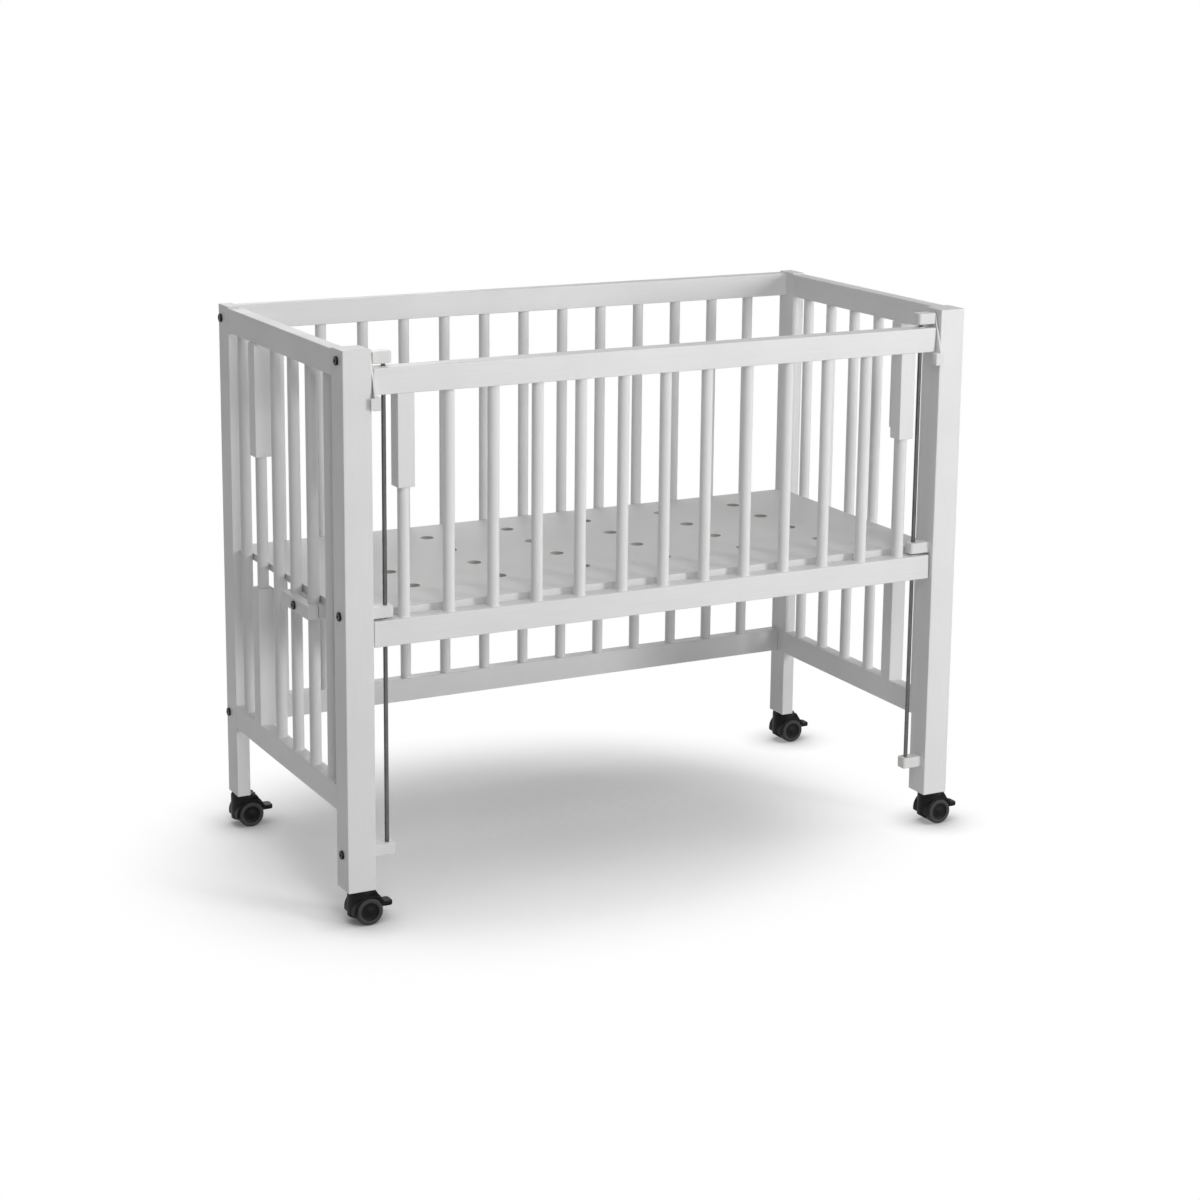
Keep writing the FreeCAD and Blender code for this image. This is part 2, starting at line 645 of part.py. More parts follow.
def caster_wheel():
    """One wheel, turned about the axle: a soft tread round a hub with a closed, dished face."""
    inner, outer = wheel_inner_face, wheel_outer_face
    r, hub = wheel_radius, hub_diameter / 2
    bore = axle_diameter / 2 + swivel_fit
    profile = [(bore, inner), (r - tyre_inner_edge, inner), (r, inner + tyre_inner_edge),
               (r, outer - tyre_shoulder), (r - tyre_shoulder / 3, outer - tyre_shoulder / 3),
               (r - tyre_shoulder, outer), (hub + hub_groove, outer), (hub + hub_groove, outer - hub_groove),
               (hub, outer - hub_groove), (hub - hub_groove, outer - hub_groove / 2),
               (0, outer - hub_dish / 2), (0, outer - axle_cap + rod_fit), (bore, outer - axle_cap + rod_fit)]
    points = [V(caster_trail + x, y, axle_level) for x, y in profile]
    face = Part.Face(Part.makePolygon(points + points[:1]))
    return face.revolve(V(caster_trail, 0, axle_level), Y_AXIS, 360)


def brake_lever():
    """An arm in the roof's slot, with a broad pedal behind the wheels."""
    inner = arm_inner
    outer = inner + lever_arm_thickness
    arm = around_axle(inner, outer, lever_low_angle, lever_high_angle, lever_width / 2)
    root_x = pedal_root
    pedal_top = axle_level + inner * math.sin(math.radians(lever_low_angle)) + pedal_rise
    middle_z = pedal_top - pedal_thickness / 2
    pedal = block(root_x, root_x + pedal_length, -pedal_width / 2, pedal_width / 2,
                  pedal_top - pedal_thickness, pedal_top)
    tips = [e for e in pedal.Edges if abs(e.CenterOfMass.x - root_x - pedal_length) < touch
            and abs(e.CenterOfMass.z - middle_z) < touch]
    pedal = pedal.makeFillet(pedal_corner, tips)
    rims = [e for e in pedal.Edges if abs(abs(e.CenterOfMass.z - middle_z) - pedal_thickness / 2) < touch]
    pedal = pedal.makeFillet(pedal_round, rims)
    clear = rod(inner, pedal_width, V(caster_trail, -pedal_width / 2, axle_level), Y_AXIS)
    pin_x, pin_z = lever_pin_place()
    eye = rod(lever_pin_diameter / 2 + lever_pin_fit, pedal_width, V(pin_x, -pedal_width / 2, pin_z), Y_AXIS)
    return arm.fuse(pedal).cut([clear, eye]).removeSplitter()


def placed(shape, x, y):
    moved = shape.copy()
    moved.translate(V(x, y, 0))
    return moved


swivels = {
    "front_left": (left + front_post_size / 2, front + front_post_size / 2),
    "front_right": (right - front_post_size / 2, front + front_post_size / 2),
    "back_left": (left + board_thickness / 2, back - back_post_depth / 2),
    "back_right": (right - board_thickness / 2, back - back_post_depth / 2),
}
outer_wheel = caster_wheel()
caster_shapes = {"caster_housing": [caster_housing()], "caster_pins": caster_pins(),
                 "brake_lever": [brake_lever()], "wheel_rear_side": [outer_wheel],
                 "wheel_front_side": [outer_wheel.mirror(V(0, 0, 0), Y_AXIS)]}
for corner, (x, y) in swivels.items():
    for name, solids in caster_shapes.items():
        save(f"{name}_{corner}", *[placed(s, x, y) for s in solids])
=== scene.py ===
import math

import bmesh
import bpy
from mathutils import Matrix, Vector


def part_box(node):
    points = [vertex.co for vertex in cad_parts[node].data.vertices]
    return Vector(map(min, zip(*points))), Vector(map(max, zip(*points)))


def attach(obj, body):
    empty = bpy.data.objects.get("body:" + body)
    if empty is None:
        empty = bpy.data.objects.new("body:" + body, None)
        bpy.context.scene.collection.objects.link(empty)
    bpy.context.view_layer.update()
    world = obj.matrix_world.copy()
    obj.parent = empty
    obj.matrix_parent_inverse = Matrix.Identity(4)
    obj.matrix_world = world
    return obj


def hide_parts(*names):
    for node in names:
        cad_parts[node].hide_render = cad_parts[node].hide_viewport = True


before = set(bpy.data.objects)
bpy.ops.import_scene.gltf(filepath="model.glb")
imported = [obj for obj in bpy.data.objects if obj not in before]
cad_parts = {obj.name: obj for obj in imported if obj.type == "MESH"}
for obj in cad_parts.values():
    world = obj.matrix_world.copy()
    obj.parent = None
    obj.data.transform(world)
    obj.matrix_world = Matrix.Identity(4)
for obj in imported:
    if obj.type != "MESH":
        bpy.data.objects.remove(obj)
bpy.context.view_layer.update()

# ---- posts ----
# Four square posts of solid beech, planed, sanded, drilled for the bolts and sprayed with white
# lacquer. The rails are pegged and bolted between them, and each stands on a caster's stem.


def linear(code):
    """A hex colour as it is seen, turned into the values that light is worked out in."""
    parts = [int(code[k:k + 2], 16) / 255 for k in (1, 3, 5)]
    return [c / 12.92 if c <= 0.04045 else ((c + 0.055) / 1.055) ** 2.4 for c in parts] + [1]


def add(tree, kind, settings=None, inputs=None):
    """Adds a node, with its settings, and with a value or a link for each input."""
    made = tree.nodes.new(kind)
    for name, value in (settings or {}).items():
        setattr(made, name, value)
    for name, value in (inputs or {}).items():
        if isinstance(value, bpy.types.NodeSocket):
            tree.links.new(value, made.inputs[name])
        else:
            made.inputs[name].default_value = value
    return made


def new_finish(name):
    """An empty material, its tree and its shader."""
    material = bpy.data.materials.new(name)
    material.use_nodes = True
    shader = material.node_tree.nodes["Principled BSDF"]
    return material, material.node_tree, shader


def coat(nodes, material):
    """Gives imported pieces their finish."""
    for name in nodes:
        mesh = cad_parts[name].data
        mesh.materials.clear()
        mesh.materials.append(material)


# Satin white lacquer on beech. It is a cold, even white with a soft shine. The grain shows through
# as faint lines along the piece, with the short flecks of beech, and the spray leaves a slight
# orange peel. The lines are drawn 2 mm apart, coarser than real, so that they show.
def lacquered_beech(name, along):
    material, tree, shader = new_finish(name)
    place = add(tree, "ShaderNodeTexCoord")
    stretch = [1.0, 1.0, 1.0]
    stretch["XYZ".index(along)] = 0.03
    grain_place = add(tree, "ShaderNodeMapping", inputs={"Vector": place.outputs["Object"], "Scale": stretch})
    grain = add(tree, "ShaderNodeTexNoise", inputs={
        "Vector": grain_place.outputs[0], "Scale": 500.0, "Detail": 4.0, "Roughness": 0.6, "Distortion": 0.4})
    fleck_stretch = [1.0, 1.0, 1.0]
    fleck_stretch["XYZ".index(along)] = 0.2
    fleck_place = add(tree, "ShaderNodeMapping", inputs={"Vector": place.outputs["Object"], "Scale": fleck_stretch})
    flecks = add(tree, "ShaderNodeTexVoronoi", {"feature": "SMOOTH_F1"}, {
        "Vector": fleck_place.outputs[0], "Scale": 900.0, "Smoothness": 0.6})
    cloud = add(tree, "ShaderNodeTexNoise", inputs={"Vector": place.outputs["Object"], "Scale": 9.0, "Detail": 3.0})
    peel = add(tree, "ShaderNodeTexNoise", inputs={"Vector": place.outputs["Object"], "Scale": 350.0, "Detail": 1.0})
    tone = add(tree, "ShaderNodeMix", {"data_type": "RGBA"}, {
        0: grain.outputs["Fac"], 6: linear("#E6E6E6"), 7: linear("#EFEFEF")})
    clouded = add(tree, "ShaderNodeMix", {"data_type": "RGBA", "blend_type": "MULTIPLY"}, {
        0: add(tree, "ShaderNodeMapRange", inputs={
            "Value": cloud.outputs["Fac"], "From Min": 0.35, "From Max": 0.7, "To Max": 0.35}).outputs[0],
        6: tone.outputs[2], 7: linear("#F3F3F3")})
    shine = add(tree, "ShaderNodeMapRange", inputs={
        "Value": cloud.outputs["Fac"], "From Min": 0.3, "From Max": 0.7, "To Min": 0.38, "To Max": 0.48})
    grooves = add(tree, "ShaderNodeBump", inputs={
        "Height": grain.outputs["Fac"], "Strength": 0.35, "Distance": 0.00012})
    flecked = add(tree, "ShaderNodeBump", inputs={
        "Height": flecks.outputs["Distance"], "Strength": 0.2, "Distance": 0.00006, "Normal": grooves.outputs[0]})
    peeled = add(tree, "ShaderNodeBump", inputs={
        "Height": peel.outputs["Fac"], "Strength": 0.25, "Distance": 0.00005, "Normal": flecked.outputs[0]})
    tree.links.new(clouded.outputs[2], shader.inputs["Base Color"])
    tree.links.new(shine.outputs[0], shader.inputs["Roughness"])
    tree.links.new(peeled.outputs[0], shader.inputs["Normal"])
    shader.inputs["IOR"].default_value = 1.5
    return material


upright_beech = lacquered_beech("satin_lacquered_beech_upright", "Z")
coat(["post_front_left", "post_front_right", "post_back_left", "post_back_right"], upright_beech)

# ---- fixed rails ----
# Flat beech rails, 20 by 35 mm, join the posts at the top and near the foot. Each is bored to take
# the ends of the round bars, and lacquered with them, so the grain runs along its length.

sideways_beech = lacquered_beech("satin_lacquered_beech_crosswise", "Y")
lengthways_beech = lacquered_beech("satin_lacquered_beech_lengthways", "X")
coat(["end_top_rail_left", "end_top_rail_right", "end_low_rail_left", "end_low_rail_right"], sideways_beech)
coat(["back_top_rail", "back_low_rail"], lengthways_beech)

# ---- round bars ----
# Turned beech dowels, 16 mm thick, glued into the rails at an even pitch. The lacquer gathers in
# the corner where a bar enters a rail, as a small hollow collar.

bar_radius = 0.008
bar_in_rail = 0.012
collar_rise = 0.0022
collar_reach = 0.0007


def turned(name, outline, middle, axis="Z", sides=48, finishes=None):
    """A piece turned on a lathe: an outline of (radius, height, finish) spun about an axis through
    a point, closed at both ends. Its map runs round it, and along its outline in metres."""
    shape = bmesh.new()
    layer = shape.loops.layers.uv.new("round")
    rings, travelled = [], [0.0]
    for (r0, h0, *_), (r1, h1, *_) in zip(outline, outline[1:]):
        travelled.append(travelled[-1] + math.hypot(r1 - r0, h1 - h0))
    for radius, height, *_ in outline:
        ring = []
        for k in range(sides if radius else 1):
            a = 2 * math.pi * k / sides
            across, up = radius * math.cos(a), radius * math.sin(a)
            spot = (across, up, height) if axis == "Z" else (across, height, up)
            ring.append(shape.verts.new([m + s for m, s in zip(middle, spot)]))
        rings.append(ring)
    for j, (low, high) in enumerate(zip(rings, rings[1:])):
        for k in range(sides):
            near, far = k, (k + 1) % sides
            corners = [(low[near % len(low)], k, j), (low[far % len(low)], k + 1, j),
                       (high[far % len(high)], k + 1, j + 1), (high[near % len(high)], k, j + 1)]
            kept = [c for i, c in enumerate(corners) if c[0] not in [d[0] for d in corners[:i]]]
            if len(kept) < 3:
                continue
            face = shape.faces.new([c[0] for c in kept])
            face.smooth = True
            face.material_index = outline[j][2] if len(outline[j]) > 2 else 0
            for loop, (_, turn, step) in zip(face.loops, kept):
                loop[layer].uv = (turn / sides, travelled[step])
    bmesh.ops.remove_doubles(shape, verts=shape.verts, dist=1e-7)
    bmesh.ops.recalc_face_normals(shape, faces=shape.faces)
    mesh = bpy.data.meshes.new(name)
    shape.to_mesh(mesh)
    shape.free()
    mesh.set_sharp_from_angle(angle=math.radians(38))
    piece = bpy.data.objects.new(name, mesh)
    bpy.context.scene.collection.objects.link(piece)
    for finish in finishes or []:
        mesh.materials.append(finish)
    return piece


def row_tree():
    """Copies of the piece in a straight row: how many, and the step from one to the next."""
    tree = bpy.data.node_groups.new("row_of_like_pieces", "GeometryNodeTree")
    for name, kind in (("Geometry", "NodeSocketGeometry"), ("Count", "NodeSocketInt"),
                       ("Step", "NodeSocketVector"), ("Finish", "NodeSocketMaterial")):
        tree.interface.new_socket(name, in_out="INPUT", socket_type=kind)
    tree.interface.new_socket("Geometry", in_out="OUTPUT", socket_type="NodeSocketGeometry")
    given = add(tree, "NodeGroupInput")
    line = add(tree, "GeometryNodeMeshLine", inputs={
        "Count": given.outputs["Count"], "Offset": given.outputs["Step"]})
    copies = add(tree, "GeometryNodeInstanceOnPoints", inputs={
        "Points": line.outputs[0], "Instance": given.outputs["Geometry"]})
    solid = add(tree, "GeometryNodeRealizeInstances", inputs={"Geometry": copies.outputs[0]})
    finished = add(tree, "GeometryNodeSetMaterial", inputs={
        "Geometry": solid.outputs[0], "Material": given.outputs["Finish"]})
    add(tree, "NodeGroupOutput", inputs={0: finished.outputs[0]})
    return tree


row = row_tree()


def repeated(piece, tree, values):
    """Runs a tree on a piece and keeps the result as its plain mesh."""
    worker = piece.modifiers.new("repeat", "NODES")
    worker.node_group = tree
    for socket in tree.interface.items_tree:
        if socket.in_out == "INPUT" and socket.name in values:
            worker[socket.identifier] = values[socket.name]
    bpy.context.view_layer.update()
    result = bpy.data.meshes.new_from_object(piece.evaluated_get(bpy.context.evaluated_depsgraph_get()))
    piece.modifiers.remove(worker)
    piece.data = result
    result.name = piece.name
    return piece


def bar_row(name, node, count, along, body):
    """A row of bars along X (0) or Y (1) in the place of a packed row."""
    low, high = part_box(node)
    step = [0.0, 0.0, 0.0]
    step[along] = (high[along] - low[along] - 2 * bar_radius) / (count - 1)
    length = high.z - low.z
    # the hollow collar: as wide as its reach at the rail, easing into the bar
    hollow = [(bar_radius + collar_reach * (1 - t) ** 2, collar_rise * t) for t in (0, 0.2, 0.45, 0.7, 1)]
    outline = [(0, 0), (bar_radius, 0), (bar_radius, bar_in_rail)]
    outline += [(r, bar_in_rail + h) for r, h in hollow]
    outline += [(r, length - bar_in_rail - h) for r, h in reversed(hollow)]
    outline += [(bar_radius, length - bar_in_rail), (bar_radius, length), (0, length)]
    first = (low.x + bar_radius, low.y + bar_radius, low.z)
    bars = turned(name, outline, first, sides=40)
    repeated(bars, row, {"Count": count, "Step": step, "Finish": upright_beech})
    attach(bars, body)
    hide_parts(node)


bar_row("turned_bars_left_end", "end_bars_left", 6, 1, "frame")
bar_row("turned_bars_right_end", "end_bars_right", 6, 1, "frame")
bar_row("turned_bars_back", "back_bars", 13, 0, "frame")

# ---- stop sleeves ----
# Square beech sleeves slipped over one bar of each end before it was glued in. They limit how far
# the base can be raised or lowered, and have the same lacquer as the bars.

coat(["stop_sleeves_left", "stop_sleeves_right"], upright_beech)

# ---- drop side ----
# The front that slides down: two thicker rails, thirteen turned bars, and a square sleeve hung on
# each outermost bar as a handhold. It is one glued frame of lacquered beech.

coat(["drop_top_rail", "drop_low_rail"], lengthways_beech)
coat(["drop_sleeves"], upright_beech)
bar_row("turned_bars_drop_side", "drop_bars", 13, 0, "drop_side")

# ---- moulded fittings, latches and bushes ----
# Injection-moulded white nylon. The fittings are bolted to the posts and hold the rods, the latches
# swing on the top ones, and a thin bush lines each hole where a rod passes through a sliding rail.


# White moulded nylon. It is a little warmer and glossier than the lacquer, with the fine, even
# spark-eroded texture of the mould. The texture is drawn 0.8 mm wide, coarser than real.
def white_nylon():
    material, tree, shader = new_finish("moulded_nylon_white")
    place = add(tree, "ShaderNodeTexCoord")
    pores = add(tree, "ShaderNodeTexNoise", inputs={
        "Vector": place.outputs["Object"], "Scale": 1200.0, "Detail": 2.0})
    flow = add(tree, "ShaderNodeTexNoise", inputs={"Vector": place.outputs["Object"], "Scale": 60.0, "Detail": 2.0})
    tone = add(tree, "ShaderNodeMix", {"data_type": "RGBA"}, {
        0: flow.outputs["Fac"], 6: linear("#E7E7E6"), 7: linear("#E1E1E0")})
    shine = add(tree, "ShaderNodeMapRange", inputs={
        "Value": flow.outputs["Fac"], "From Min": 0.3, "From Max": 0.7, "To Min": 0.32, "To Max": 0.42})
    texture = add(tree, "ShaderNodeBump", inputs={
        "Height": pores.outputs["Fac"], "Strength": 0.3, "Distance": 0.00005})
    tree.links.new(tone.outputs[2], shader.inputs["Base Color"])
    tree.links.new(shine.outputs[0], shader.inputs["Roughness"])
    tree.links.new(texture.outputs[0], shader.inputs["Normal"])
    shader.inputs["IOR"].default_value = 1.53
    return material


nylon_white = white_nylon()
coat([f"{level}_fitting_{side}" for level in ("top", "middle", "bottom") for side in ("left", "right")], nylon_white)
coat(["latch_left", "latch_right"], nylon_white)

bush_bore, bush_outer, bush_lip, bush_edge = 0.0037, 0.0056, 0.0008, 0.0003
rod_left, rod_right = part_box("guide_rod_left"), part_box("guide_rod_right")
rod_middle = (rod_left[0] + rod_left[1]) / 2
rod_spacing = rod_right[0].x - rod_left[0].x
for rail in ("top", "low"):
    low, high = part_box(f"drop_{rail}_rail")
    for face, level, way in (("upper", high.z, 1), ("under", low.z, -1)):
        outline = [(bush_bore, 0), (bush_bore, way * (bush_lip - bush_edge)), (bush_bore + bush_edge, way * bush_lip),
                   (bush_outer - bush_edge, way * bush_lip), (bush_outer, way * (bush_lip - bush_edge)),
                   (bush_outer, 0), (bush_bore, 0)]
        bushes = turned(f"rod_bushes_{rail}_rail_{face}", outline, (rod_middle.x, rod_middle.y, level), sides=36)
        repeated(bushes, row, {"Count": 2, "Step": (rod_spacing, 0, 0), "Finish": nylon_white})
        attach(bushes, "drop_side")

# ---- guide rods ----
# Two 6 mm steel rods, drawn and bright nickel-plated. They stand in the moulded fittings beside the
# front posts, and the drop side slides on them.


# Bright drawn steel. It shows as a dark, sharp line with a thin highlight, mirrored in a narrow strip. Its dark
# colour is painted, as a painted reflection of a dark room, because the room it mirrors is white. The drawing die
# leaves hair lines along it, here 0.5 mm apart.
def drawn_steel():
    material, tree, shader = new_finish("drawn_nickel_plated_steel")
    place = add(tree, "ShaderNodeTexCoord")
    long_place = add(tree, "ShaderNodeMapping", inputs={"Vector": place.outputs["Object"], "Scale": (1, 1, 0.01)})
    hair = add(tree, "ShaderNodeTexNoise", inputs={"Vector": long_place.outputs[0], "Scale": 2000.0, "Detail": 3.0})
    patch = add(tree, "ShaderNodeTexNoise", inputs={"Vector": place.outputs["Object"], "Scale": 40.0, "Detail": 2.0})
    # painted reflection: the two dark greys stand in for a dark room mirrored in the rod, varied at random in patches
    tone = add(tree, "ShaderNodeMix", {"data_type": "RGBA"}, {
        0: patch.outputs["Fac"], 6: linear("#545453"), 7: linear("#777775")})
    shine = add(tree, "ShaderNodeMapRange", inputs={"Value": hair.outputs["Fac"], "To Min": 0.16, "To Max": 0.34})
    lines = add(tree, "ShaderNodeBump", inputs={
        "Height": hair.outputs["Fac"], "Strength": 0.2, "Distance": 0.00003})
    tree.links.new(tone.outputs[2], shader.inputs["Base Color"])
    tree.links.new(shine.outputs[0], shader.inputs["Roughness"])
    tree.links.new(lines.outputs[0], shader.inputs["Normal"])
    shader.inputs["Metallic"].default_value = 1.0
    return material


coat(["guide_rod_left", "guide_rod_right"], drawn_steel())

# ---- bolts ----
# Round-headed connector bolts with a 4 mm hexagon socket, in black-oxide steel. They hold the
# fittings and the back rails to the posts, and draw the clamp jaws together.


# Black oxide on steel. It is nearly black with a dull sheen, browner and more worn where a key or
# a thumb has rubbed it. The rubbed patches are about 3 mm wide.
def black_oxide():
    material, tree, shader = new_finish("black_oxide_steel")
    place = add(tree, "ShaderNodeTexCoord")
    rubbed = add(tree, "ShaderNodeTexNoise", inputs={
        "Vector": place.outputs["Object"], "Scale": 330.0, "Detail": 4.0})
    tone = add(tree, "ShaderNodeMix", {"data_type": "RGBA"}, {
        0: rubbed.outputs["Fac"], 6: linear("#18181A"), 7: linear("#3A3937")})
    shine = add(tree, "ShaderNodeMapRange", inputs={"Value": rubbed.outputs["Fac"], "To Min": 0.3, "To Max": 0.5})
    skin = add(tree, "ShaderNodeBump", inputs={
        "Height": rubbed.outputs["Fac"], "Strength": 0.15, "Distance": 0.00004})
    tree.links.new(tone.outputs[2], shader.inputs["Base Color"])
    tree.links.new(shine.outputs[0], shader.inputs["Roughness"])
    tree.links.new(skin.outputs[0], shader.inputs["Normal"])
    shader.inputs["Metallic"].default_value = 1.0
    return material


coat(["fitting_bolts", "frame_bolts", "clamp_bolts"], black_oxide())

# ---- nuts, screws and caster pins ----
# Barrel nuts in the back rails, nuts and screws in the clamps, and the casters' stems, axles and
# lever pins. All are turned from steel and zinc-plated.


# Bright zinc plate. It is a light, faintly blue metal with a slightly cloudy shine, in patches
# about 4 mm wide.
def zinc_plate():
    material, tree, shader = new_finish("zinc_plated_steel")
    place = add(tree, "ShaderNodeTexCoord")
    cloud = add(tree, "ShaderNodeTexNoise", inputs={"Vector": place.outputs["Object"], "Scale": 250.0, "Detail": 3.0})
    tone = add(tree, "ShaderNodeMix", {"data_type": "RGBA"}, {
        0: cloud.outputs["Fac"], 6: linear("#B4B8BC"), 7: linear("#C9CBCC")})
    shine = add(tree, "ShaderNodeMapRange", inputs={"Value": cloud.outputs["Fac"], "To Min": 0.22, "To Max": 0.42})
    skin = add(tree, "ShaderNodeBump", inputs={
        "Height": cloud.outputs["Fac"], "Strength": 0.12, "Distance": 0.00004})
    tree.links.new(tone.outputs[2], shader.inputs["Base Color"])
    tree.links.new(shine.outputs[0], shader.inputs["Roughness"])
    tree.links.new(skin.outputs[0], shader.inputs["Normal"])
    shader.inputs["Metallic"].default_value = 1.0
    return material


corners = ("front_left", "front_right", "back_left", "back_right")
coat(["barrel_nuts", "clamp_nuts", "clamp_screws"] + [f"caster_pins_{c}" for c in corners], zinc_plate())

# ---- base board ----
# A 10 mm fibreboard faced with white foil, drilled with 24 vents so that the mattress can breathe.
# It rests on the clamps and is screwed to them from below.

foil_edge = 0.003


# White foil on fibreboard. It is flatter and a little greyer than the lacquer, with a very fine pressed texture,
# drawn 1.5 mm wide, and no grain. The walls of the drilled vents, which are the upright faces inside the board's
# edges, are coloured a darker grey as painted shade, so that each vent shows as a darker spot.
def faced_board():
    material, tree, shader = new_finish("foil_faced_fibreboard")
    low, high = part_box("base_board")
    centre = [(a + b) / 2 for a, b in zip(low, high)]
    foil_reach = [(b - a) / 2 - foil_edge for a, b in zip(low, high)]
    place = add(tree, "ShaderNodeTexCoord")
    pressed = add(tree, "ShaderNodeTexNoise", inputs={
        "Vector": place.outputs["Object"], "Scale": 650.0, "Detail": 3.0})
    cloud = add(tree, "ShaderNodeTexNoise", inputs={"Vector": place.outputs["Object"], "Scale": 6.0, "Detail": 2.0})
    tone = add(tree, "ShaderNodeMix", {"data_type": "RGBA"}, {
        0: cloud.outputs["Fac"], 6: linear("#E2E2E2"), 7: linear("#E9E9E8")})
    offset = add(tree, "ShaderNodeVectorMath", {"operation": "SUBTRACT"}, {0: place.outputs["Object"], 1: centre})
    reach = add(tree, "ShaderNodeVectorMath", {"operation": "ABSOLUTE"}, {0: offset.outputs[0]})
    reached = add(tree, "ShaderNodeSeparateXYZ", inputs={0: reach.outputs[0]})
    facing = add(tree, "ShaderNodeSeparateXYZ", inputs={0: place.outputs["Normal"]})
    upright = add(tree, "ShaderNodeMath", {"operation": "COMPARE"}, {0: facing.outputs["Z"], 1: 0.0, 2: 0.3})
    # painted shade: the upright faces inside the board's edges, the walls of the vents, get a darker grey
    shaded_vent_walls = upright
    for axis, limit in (("X", foil_reach[0]), ("Y", foil_reach[1])):
        within = add(tree, "ShaderNodeMath", {"operation": "LESS_THAN"}, {0: reached.outputs[axis], 1: limit})
        shaded_vent_walls = add(tree, "ShaderNodeMath", {"operation": "MULTIPLY"}, {0: shaded_vent_walls.outputs[0], 1: within.outputs[0]})
    vent_shade_grey = add(tree, "ShaderNodeMix", {"data_type": "RGBA"}, {
        0: pressed.outputs["Fac"], 6: linear("#ACA8A2"), 7: linear("#C0BCB6")})
    surface = add(tree, "ShaderNodeMix", {"data_type": "RGBA"}, {
        0: shaded_vent_walls.outputs[0], 6: tone.outputs[2], 7: vent_shade_grey.outputs[2]})
    shine = add(tree, "ShaderNodeMapRange", inputs={"Value": pressed.outputs["Fac"], "To Min": 0.46, "To Max": 0.58})
    texture = add(tree, "ShaderNodeBump", inputs={
        "Height": pressed.outputs["Fac"], "Strength": 0.2, "Distance": 0.00006})
    tree.links.new(surface.outputs[2], shader.inputs["Base Color"])
    tree.links.new(shine.outputs[0], shader.inputs["Roughness"])
    tree.links.new(texture.outputs[0], shader.inputs["Normal"])
    shader.inputs["IOR"].default_value = 1.48
    return material


coat(["base_board"], faced_board())

# ---- clamps ----
# At each end two grooved beech jaws close on a pair of bars when their bolt is tightened. They carry
# the base, and are lacquered like the frame, with the grain along their length.

coat([f"clamp_{jaw}_jaw_{side}" for jaw in ("outer", "inner") for side in ("left", "right")], sideways_beech)

# ---- casters ----
# Four twin-wheel casters. The hood and the brake lever are moulded in black nylon, and each wheel
# has a hard black hub inside a softer dark grey tyre.


# Black moulded nylon. It is a deep black with a broad, soft highlight and an even, fine mould
# texture, drawn 0.7 mm wide.
def black_nylon():
    material, tree, shader = new_finish("moulded_nylon_black")
    place = add(tree, "ShaderNodeTexCoord")
    pores = add(tree, "ShaderNodeTexNoise", inputs={
        "Vector": place.outputs["Object"], "Scale": 1400.0, "Detail": 2.0})
    flow = add(tree, "ShaderNodeTexNoise", inputs={"Vector": place.outputs["Object"], "Scale": 90.0, "Detail": 2.0})
    tone = add(tree, "ShaderNodeMix", {"data_type": "RGBA"}, {
        0: flow.outputs["Fac"], 6: linear("#060607"), 7: linear("#0D0D0E")})
    shine = add(tree, "ShaderNodeMapRange", inputs={"Value": flow.outputs["Fac"], "To Min": 0.42, "To Max": 0.56})
    texture = add(tree, "ShaderNodeBump", inputs={
        "Height": pores.outputs["Fac"], "Strength": 0.35, "Distance": 0.00006})
    tree.links.new(tone.outputs[2], shader.inputs["Base Color"])
    tree.links.new(shine.outputs[0], shader.inputs["Roughness"])
    tree.links.new(texture.outputs[0], shader.inputs["Normal"])
    shader.inputs["IOR"].default_value = 1.53
    shader.inputs["Specular IOR Level"].default_value = 0.15
    return material


# Thermoplastic rubber tyre. It is a matt dark grey, a little paler where floor dust clings, with
# fine mould lines round it. The map runs in metres along the outline, so 1 mm lines are 1000 a metre.
def rubber_tyre():
    material, tree, shader = new_finish("thermoplastic_rubber_tyre")
    place = add(tree, "ShaderNodeTexCoord")
    own_map = add(tree, "ShaderNodeUVMap", {"uv_map": "round"})
    split = add(tree, "ShaderNodeSeparateXYZ", inputs={0: own_map.outputs[0]})
    lines = add(tree, "ShaderNodeMath", {"operation": "SINE"}, {
        0: add(tree, "ShaderNodeMath", {"operation": "MULTIPLY"}, {
            0: split.outputs["Y"], 1: 2 * math.pi * 1000}).outputs[0]})
    dust = add(tree, "ShaderNodeTexNoise", inputs={"Vector": place.outputs["Object"], "Scale": 220.0, "Detail": 4.0})
    tone = add(tree, "ShaderNodeMix", {"data_type": "RGBA"}, {
        0: dust.outputs["Fac"], 6: linear("#232324"), 7: linear("#333333")})
    shine = add(tree, "ShaderNodeMapRange", inputs={"Value": dust.outputs["Fac"], "To Min": 0.6, "To Max": 0.8})
    ridges = add(tree, "ShaderNodeBump", inputs={"Height": lines.outputs[0], "Strength": 0.15, "Distance": 0.00006})
    rough = add(tree, "ShaderNodeBump", inputs={
        "Height": dust.outputs["Fac"], "Strength": 0.2, "Distance": 0.00008, "Normal": ridges.outputs[0]})
    tree.links.new(tone.outputs[2], shader.inputs["Base Color"])
    tree.links.new(shine.outputs[0], shader.inputs["Roughness"])
    tree.links.new(rough.outputs[0], shader.inputs["Normal"])
    return material


nylon_black, tyre_rubber = black_nylon(), rubber_tyre()
coat([f"caster_housing_{c}" for c in corners] + [f"brake_lever_{c}" for c in corners], nylon_black)

tread_radius, hub_radius, boss_radius = 0.019, 0.0124, 0.0045
axle_bore, axle_cap = 0.00308, 0.00295
tyre, hub = 0, 1


